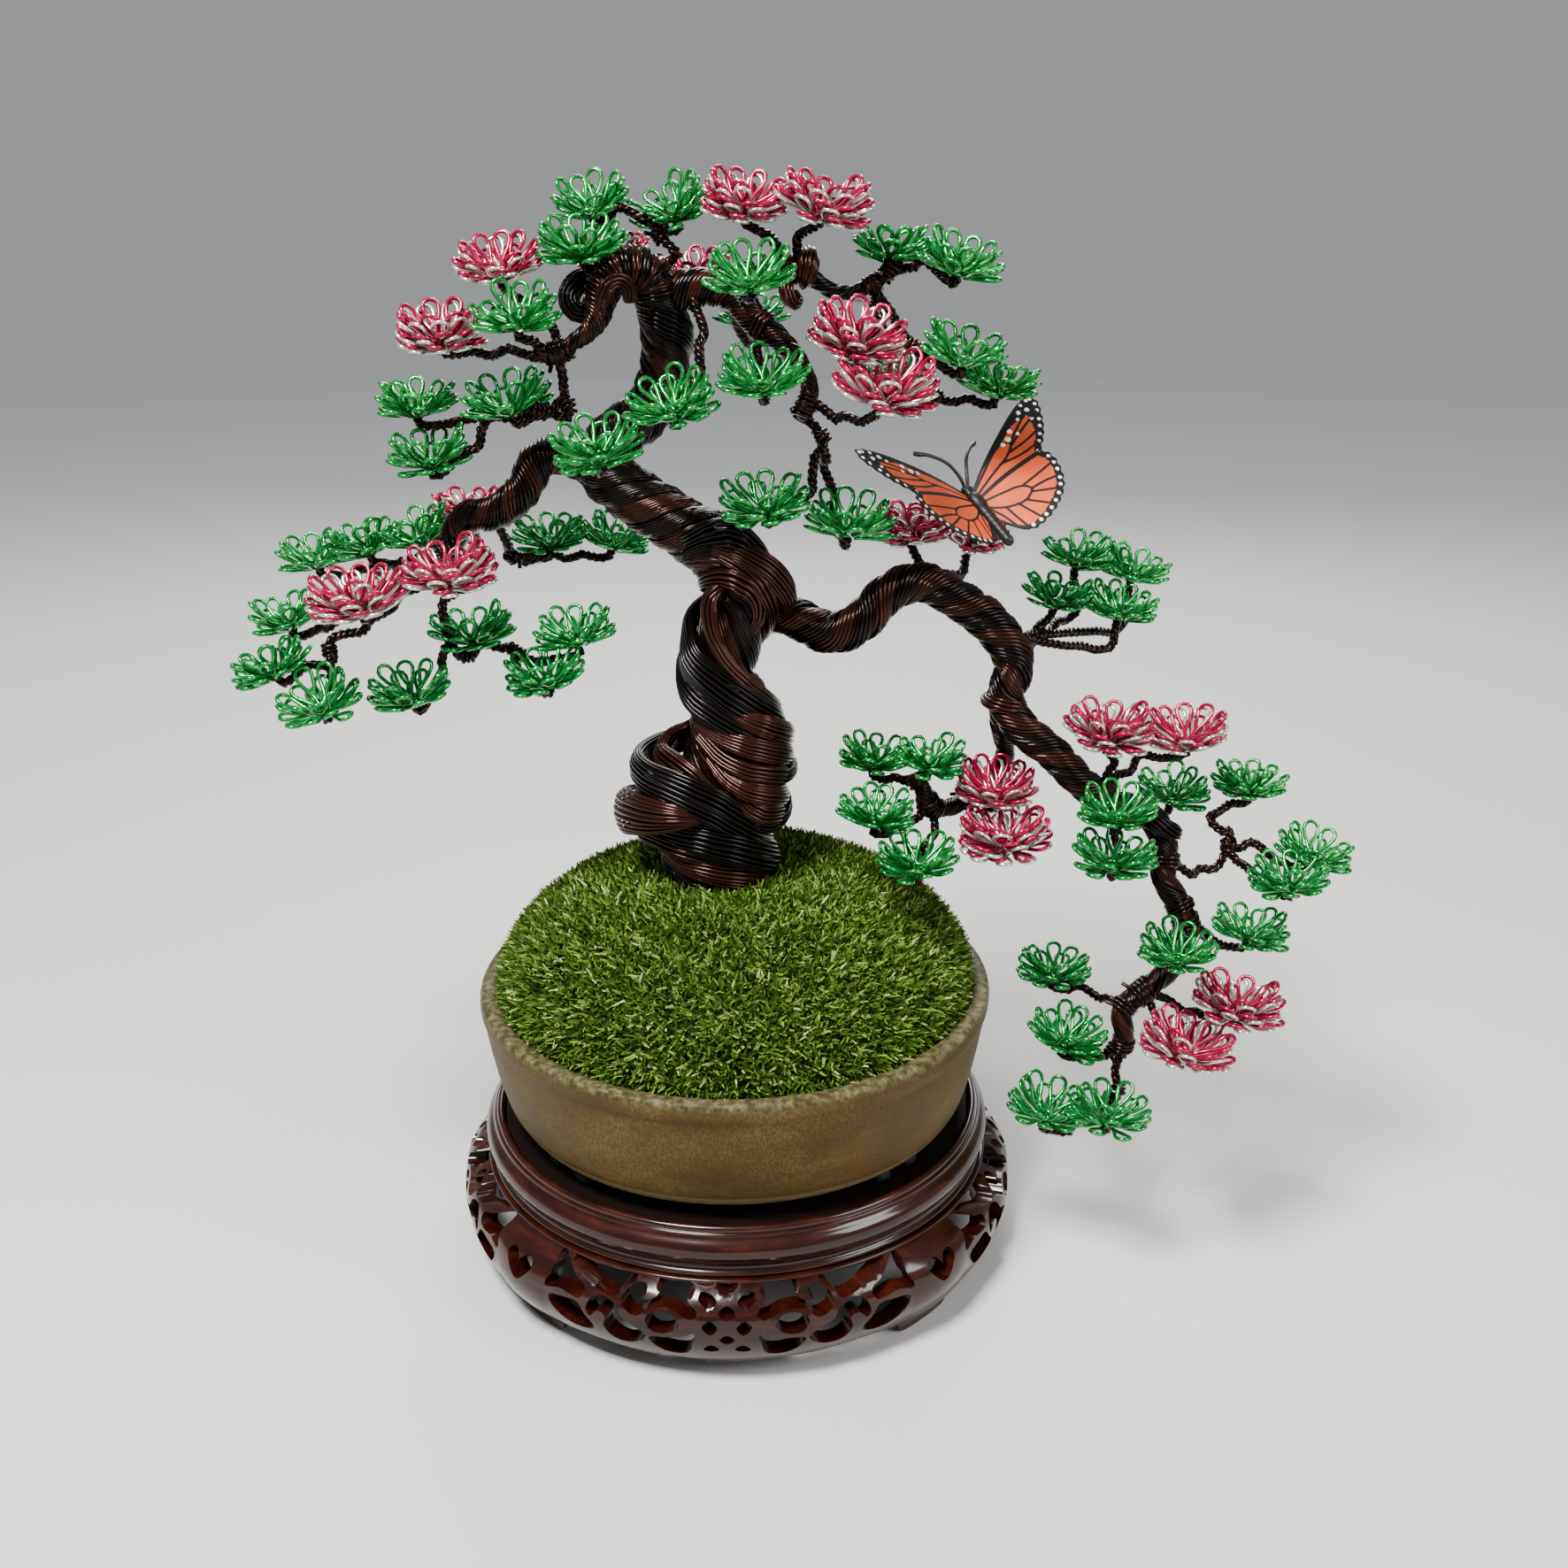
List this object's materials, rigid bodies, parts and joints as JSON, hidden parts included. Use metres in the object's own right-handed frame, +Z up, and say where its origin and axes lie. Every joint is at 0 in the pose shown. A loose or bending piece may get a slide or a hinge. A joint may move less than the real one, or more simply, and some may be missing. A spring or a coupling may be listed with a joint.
{
  "type": "craft-wire flowering bonsai in a pot",
  "caption": "Bonsai tree twisted from craft wire, with cupped looped-wire rosettes and a butterfly, in a round glazed pot of turf on a pierced wooden stand.",
  "frame": {"origin": "on the surface that the stand's feet rest on, under the middle of the bounding box", "axes": "+Z up, +X towards the side that the cascading bough hangs over, -Y towards the viewer of the picture"},
  "size_m": [0.3734, 0.1996, 0.3675],
  "materials": {
    "stand_wood": "polished dark red-brown rosewood stain",
    "pot_glaze": "mottled olive-brown satin glaze",
    "filler": "cast plaster",
    "turf": "short artificial grass",
    "bark_wire": "glossy anodised wire, copper-brown and black",
    "green_wire": "glossy green anodised wire",
    "pink_wire": "glossy deep pink wire doubled with silver-white wire",
    "butterfly_wing": "printed film, orange with black veins and white dots",
    "butterfly_body": "satin black moulded plastic"
  },
  "bodies": {
    "root": {"stand_ring": "stand_wood", "stand_tray": "stand_wood", "stand_apron": "stand_wood", "pot": "pot_glaze", "pot_filler": "filler", "moss_mound": "turf", "trunk": "bark_wire", "bough_left": "bark_wire", "bough_crown_left": "bark_wire", "bough_crown_right": "bark_wire", "bough_right": "bark_wire", "bough_cascade": "bark_wire", "bough_inner": "bark_wire", "green_01": "green_wire", "green_02": "green_wire", "green_03": "green_wire", "green_04": "green_wire", "green_05": "green_wire", "green_06": "green_wire", "green_07": "green_wire", "green_08": "green_wire", "green_09": "green_wire", "green_10": "green_wire", "green_11": "green_wire", "green_12": "green_wire", "green_13": "green_wire", "green_14": "green_wire", "green_15": "green_wire", "green_16": "green_wire", "green_17": "green_wire", "green_18": "green_wire", "green_19": "green_wire", "green_20": "green_wire", "green_21": "green_wire", "green_22": "green_wire", "green_23": "green_wire", "green_24": "green_wire", "green_25": "green_wire", "green_26": "green_wire", "green_27": "green_wire", "green_28": "green_wire", "green_29": "green_wire", "green_30": "green_wire", "green_31": "green_wire", "pink_01": "pink_wire", "pink_02": "pink_wire", "pink_03": "pink_wire", "pink_04": "pink_wire", "pink_05": "pink_wire", "pink_06": "pink_wire", "pink_07": "pink_wire", "pink_08": "pink_wire", "pink_09": "pink_wire", "pink_10": "pink_wire", "pink_11": "pink_wire", "pink_12": "pink_wire", "butterfly_body": "butterfly_body", "butterfly_wing_right": "butterfly_wing", "butterfly_wing_left": "butterfly_wing", "butterfly_peg": "bark_wire"}
  },
  "joints": []
}
